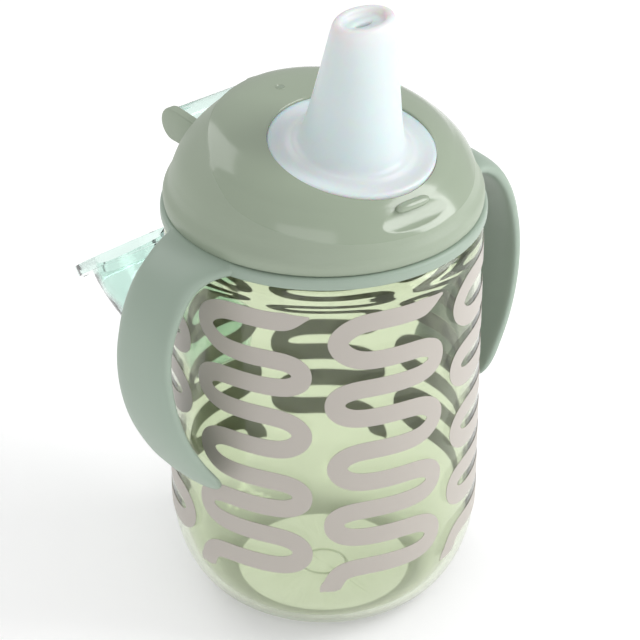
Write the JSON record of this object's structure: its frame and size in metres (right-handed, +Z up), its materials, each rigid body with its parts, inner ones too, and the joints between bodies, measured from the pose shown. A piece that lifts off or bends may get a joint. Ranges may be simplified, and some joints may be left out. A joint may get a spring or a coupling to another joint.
{
  "type": "sippy cup",
  "caption": "Child's sippy cup: clear cup, screw lid with soft spout and vent, flip cap hinged at the back and a collar with side handles.",
  "frame": {"origin": "centre of the flat base, on the cup's axis", "axes": "+Z up the cup's axis, -Y towards the latch that faces the drinker, +Y towards the cap's hinge, +X and -X towards the handles"},
  "size_m": [0.1074, 0.1195, 0.1506],
  "materials": {
    "cup_clear": "clear green moulded plastic",
    "collar_sage": "satin moulded plastic",
    "lid_sage": "satin moulded plastic with a glossy top",
    "silicone": "soft milky silicone",
    "cap_clear": "clear teal moulded plastic"
  },
  "bodies": {
    "cup": {"cup_body": "cup_clear"},
    "seal": {"lid_seal": "silicone"},
    "lid": {"lid": "lid_sage", "handle_collar": "collar_sage", "spout": "silicone", "spout_valve": "silicone", "vent_valve": "silicone"},
    "cap": {"flip_cap": "cap_clear"}
  },
  "joints": [
    {"name": "lid_lift", "type": "slide", "parent": "cup", "child": "seal", "axis": [0, 0, 1], "range_m": [0, 0.0101]},
    {"name": "lid_turn", "type": "hinge", "parent": "seal", "child": "lid", "pos_m": [0, 0, 0.1], "axis": [0, 0, 1], "range_deg": [0, 900]},
    {"name": "cap_flip", "type": "hinge", "parent": "lid", "child": "cap", "pos_m": [0, 0.0392, 0.1064], "axis": [1, 0, 0], "range_deg": [0, 227], "deforming": ["spout"]}
  ],
  "couplings": [
    {"joint": "lid_lift", "follows": "lid_turn", "m_per_rad": 0.00063662}
  ]
}
